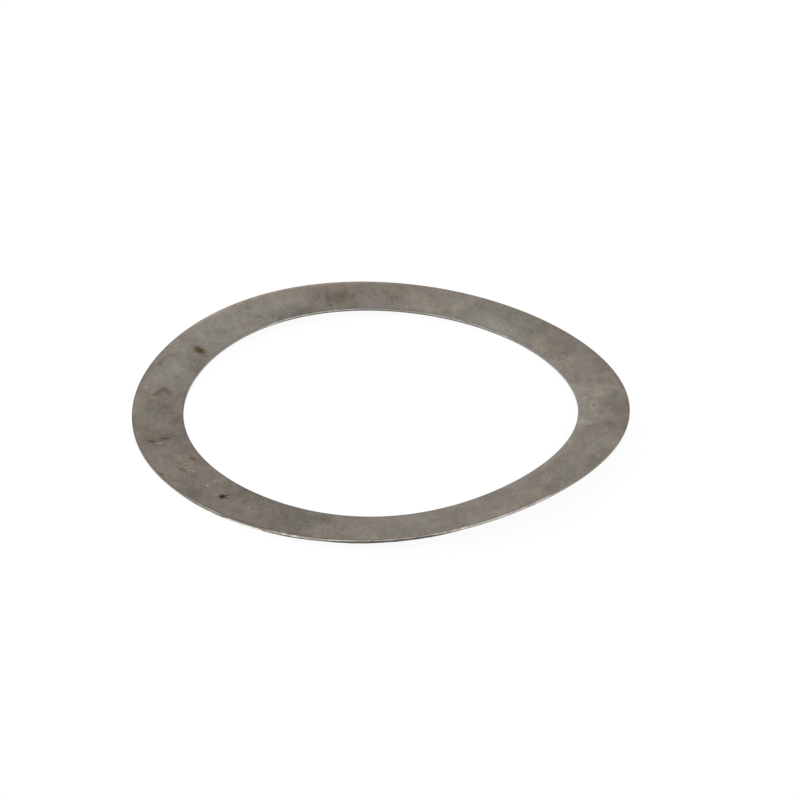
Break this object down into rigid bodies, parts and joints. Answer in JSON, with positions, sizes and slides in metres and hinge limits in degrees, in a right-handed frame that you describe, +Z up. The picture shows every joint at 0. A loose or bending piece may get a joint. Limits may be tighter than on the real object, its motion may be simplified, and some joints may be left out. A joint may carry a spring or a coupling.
{
  "type": "shim washer",
  "caption": "Thin flat steel ring with a large bore and a narrow band, slightly bowed, used as a spacer on a shaft.",
  "frame": {"origin": "on the bore's axis, at the height of the washer's lowest point", "axes": "+Z up along the bore's axis, +X to where the edge of the bore stands highest"},
  "size_m": [0.0468, 0.0468, 0.0023],
  "materials": {
    "cold_rolled_steel": "cold-rolled steel, satin, lightly mottled and stained, with blanked edges"
  },
  "bodies": {
    "root": {"shim_washer": "cold_rolled_steel"}
  },
  "joints": []
}
